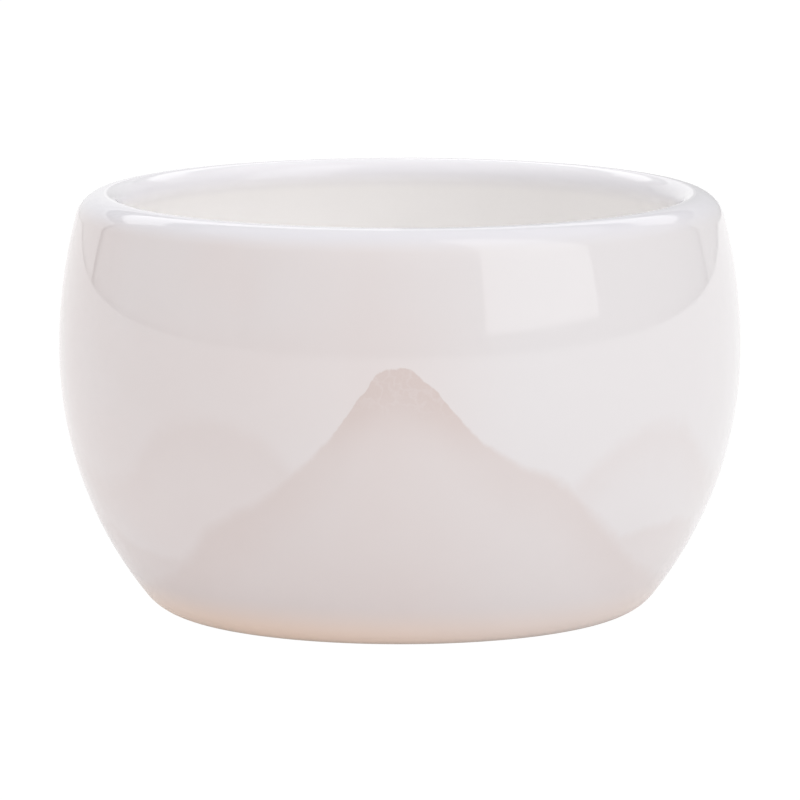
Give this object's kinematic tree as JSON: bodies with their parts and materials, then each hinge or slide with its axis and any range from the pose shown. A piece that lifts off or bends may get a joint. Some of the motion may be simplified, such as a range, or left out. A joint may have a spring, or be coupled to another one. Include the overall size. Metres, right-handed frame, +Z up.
{
  "type": "shaving bowl",
  "caption": "Round-bellied glazed porcelain bowl with a thick rounded lip and a flat floor, for whipping shaving soap into a lather with a brush.",
  "frame": {"origin": "on the bowl's axis, in the plane that the bowl stands on", "axes": "+Z up along the bowl's axis; the side with the tallest painted peak faces -Y"},
  "size_m": [0.105, 0.105, 0.065],
  "materials": {
    "porcelain": "fired porcelain without glaze, matt and very fine, showing only on the foot",
    "outside_glaze": "thick high-gloss white glaze with a faint lilac cast over a misty landscape in pale beige, with a faint peach flush along the foot",
    "inside_glaze": "high-gloss white glaze with a faint cream cast",
    "underside_glaze": "thin gloss white glaze",
    "silicone": "milky translucent silicone, satin"
  },
  "bodies": {
    "root": {"porcelain_body": "porcelain", "outside_glaze": "outside_glaze", "inside_glaze": "inside_glaze", "underside_glaze": "underside_glaze", "antislip_ring": "silicone"}
  },
  "joints": []
}
